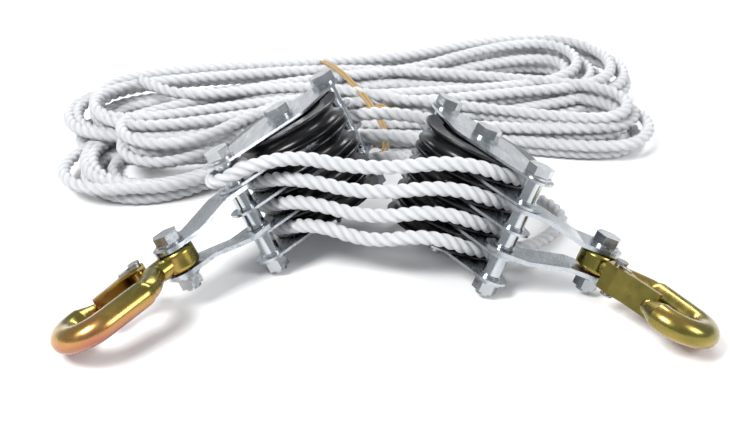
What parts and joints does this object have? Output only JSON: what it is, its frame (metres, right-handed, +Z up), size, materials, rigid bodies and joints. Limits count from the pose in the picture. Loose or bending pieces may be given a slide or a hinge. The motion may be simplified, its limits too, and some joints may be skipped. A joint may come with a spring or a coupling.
{
  "type": "rope hoist",
  "caption": "Rope hoist with two multi-sheave blocks, safety hooks and a tied hank of white twisted rope.",
  "frame": {"origin": "on the floor, under the middle of the two blocks with their hooks, without the free rope, its hank and its tie", "axes": "+Z up from the floor; +X from the left block to the right one; +Y away from the hooks towards the hank"},
  "size_m": [0.5118, 0.4831, 0.1068],
  "materials": {
    "plate_zinc": "satin",
    "bolt_zinc": "satin",
    "spacer_steel": "gloss",
    "sheave_plastic": "gloss",
    "bush_brass": "satin",
    "hook_gold": "gloss",
    "latch_gold": "satin",
    "spring_steel": "satin",
    "rope": "satin",
    "twine": "matte"
  },
  "bodies": {
    "left_block": {"left_plate_1": "plate_zinc", "left_plate_2": "plate_zinc", "left_plate_3": "plate_zinc", "left_plate_4": "plate_zinc", "left_plate_5": "plate_zinc", "left_front_bolt": "bolt_zinc", "left_front_nut": "bolt_zinc", "left_axle_bolt": "bolt_zinc", "left_axle_nut": "bolt_zinc", "left_back_bolt": "bolt_zinc", "left_back_nut": "bolt_zinc", "left_front_spacers": "spacer_steel", "left_back_spacers": "spacer_steel", "left_axle_bushes": "bush_brass"},
    "left_straps": {"left_strap_upper": "plate_zinc", "left_strap_lower": "plate_zinc", "left_hook_bolt": "bolt_zinc", "left_hook_nut": "bolt_zinc"},
    "left_hook": {"left_hook": "hook_gold", "left_latch_pin": "spring_steel", "left_latch_spring": "spring_steel"},
    "left_latch": {"left_latch": "latch_gold"},
    "left_sheave_1": {"left_sheave_1": "sheave_plastic"},
    "left_sheave_2": {"left_sheave_2": "sheave_plastic"},
    "left_sheave_3": {"left_sheave_3": "sheave_plastic"},
    "left_sheave_4": {"left_sheave_4": "sheave_plastic"},
    "right_block": {"right_plate_1": "plate_zinc", "right_plate_2": "plate_zinc", "right_plate_3": "plate_zinc", "right_plate_4": "plate_zinc", "right_plate_5": "plate_zinc", "right_front_bolt": "bolt_zinc", "right_front_nut": "bolt_zinc", "right_axle_bolt": "bolt_zinc", "right_axle_nut": "bolt_zinc", "right_back_bolt": "bolt_zinc", "right_back_nut": "bolt_zinc", "right_front_spacers": "spacer_steel", "right_back_spacers": "spacer_steel", "right_axle_bushes": "bush_brass", "rope_reeved": "rope", "rope_fall": "rope", "rope_hank": "rope", "hank_twine": "twine"},
    "right_straps": {"right_strap_upper": "plate_zinc", "right_strap_lower": "plate_zinc", "right_hook_bolt": "bolt_zinc", "right_hook_nut": "bolt_zinc"},
    "right_hook": {"right_hook": "hook_gold", "right_latch_pin": "spring_steel", "right_latch_spring": "spring_steel"},
    "right_latch": {"right_latch": "latch_gold"},
    "right_sheave_1": {"right_sheave_1": "sheave_plastic"},
    "right_sheave_2": {"right_sheave_2": "sheave_plastic"},
    "right_sheave_3": {"right_sheave_3": "sheave_plastic"},
    "right_sheave_4": {"right_sheave_4": "sheave_plastic"}
  },
  "joints": [
    {"name": "left_strap_swing", "type": "hinge", "parent": "left_block", "child": "left_straps", "pos_m": [-0.09269, 0.0099, 0.04588], "axis": [-0.4403, 0.1719, 0.8812], "range_deg": [-30, 60]},
    {"name": "left_hook_swivel", "type": "hinge", "parent": "left_straps", "child": "left_hook", "pos_m": [-0.13451, -0.03418, 0.03358], "axis": [-0.4403, 0.1719, 0.8812], "range_deg": [-35, 60]},
    {"name": "left_latch_pivot", "type": "hinge", "parent": "left_hook", "child": "left_latch", "pos_m": [-0.15637, -0.04711, 0.02518], "axis": [-0.4403, 0.1719, 0.8812], "range_deg": [0, 16], "stiffness_Nm_per_rad": 0.12, "springref_deg": -17.19},
    {"name": "left_sheave_1_spin", "type": "hinge", "parent": "left_block", "child": "left_sheave_1", "pos_m": [-0.06811, 0.0625, 0.07922], "axis": [-0.4403, 0.1719, 0.8812], "continuous": true},
    {"name": "left_sheave_2_spin", "type": "hinge", "parent": "left_block", "child": "left_sheave_2", "pos_m": [-0.06001, 0.05934, 0.06301], "axis": [-0.4403, 0.1719, 0.8812], "continuous": true},
    {"name": "left_sheave_3_spin", "type": "hinge", "parent": "left_block", "child": "left_sheave_3", "pos_m": [-0.05191, 0.05618, 0.04679], "axis": [-0.4403, 0.1719, 0.8812], "continuous": true},
    {"name": "left_sheave_4_spin", "type": "hinge", "parent": "left_block", "child": "left_sheave_4", "pos_m": [-0.04381, 0.05302, 0.03058], "axis": [-0.4403, 0.1719, 0.8812], "continuous": true},
    {"name": "right_strap_swing", "type": "hinge", "parent": "right_block", "child": "right_straps", "pos_m": [0.08314, -0.01983, 0.04775], "axis": [0.3827, 0.1808, 0.906], "range_deg": [-60, 12]},
    {"name": "right_hook_swivel", "type": "hinge", "parent": "right_straps", "child": "right_hook", "pos_m": [0.14032, -0.02088, 0.02381], "axis": [0.3827, 0.1808, 0.906], "range_deg": [-48, 45]},
    {"name": "right_latch_pivot", "type": "hinge", "parent": "right_hook", "child": "right_latch", "pos_m": [0.14695, -0.04668, 0.02615], "axis": [0.3827, 0.1808, 0.906], "range_deg": [0, 16], "stiffness_Nm_per_rad": 0.12, "springref_deg": -17.19},
    {"name": "right_sheave_1_spin", "type": "hinge", "parent": "right_block", "child": "right_sheave_1", "pos_m": [0.0646, 0.03875, 0.07436], "axis": [0.3827, 0.1808, 0.906], "continuous": true},
    {"name": "right_sheave_2_spin", "type": "hinge", "parent": "right_block", "child": "right_sheave_2", "pos_m": [0.05756, 0.03542, 0.05769], "axis": [0.3827, 0.1808, 0.906], "continuous": true},
    {"name": "right_sheave_3_spin", "type": "hinge", "parent": "right_block", "child": "right_sheave_3", "pos_m": [0.05052, 0.0321, 0.04102], "axis": [0.3827, 0.1808, 0.906], "continuous": true},
    {"name": "right_sheave_4_spin", "type": "hinge", "parent": "right_block", "child": "right_sheave_4", "pos_m": [0.04348, 0.02877, 0.02434], "axis": [0.3827, 0.1808, 0.906], "continuous": true},
    {"name": "left_block_travel", "type": "slide", "parent": "right_block", "child": "left_block", "axis": [-1, 0, 0], "range_m": [-0.004, 0.035], "deforming": ["rope_reeved"]}
  ]
}
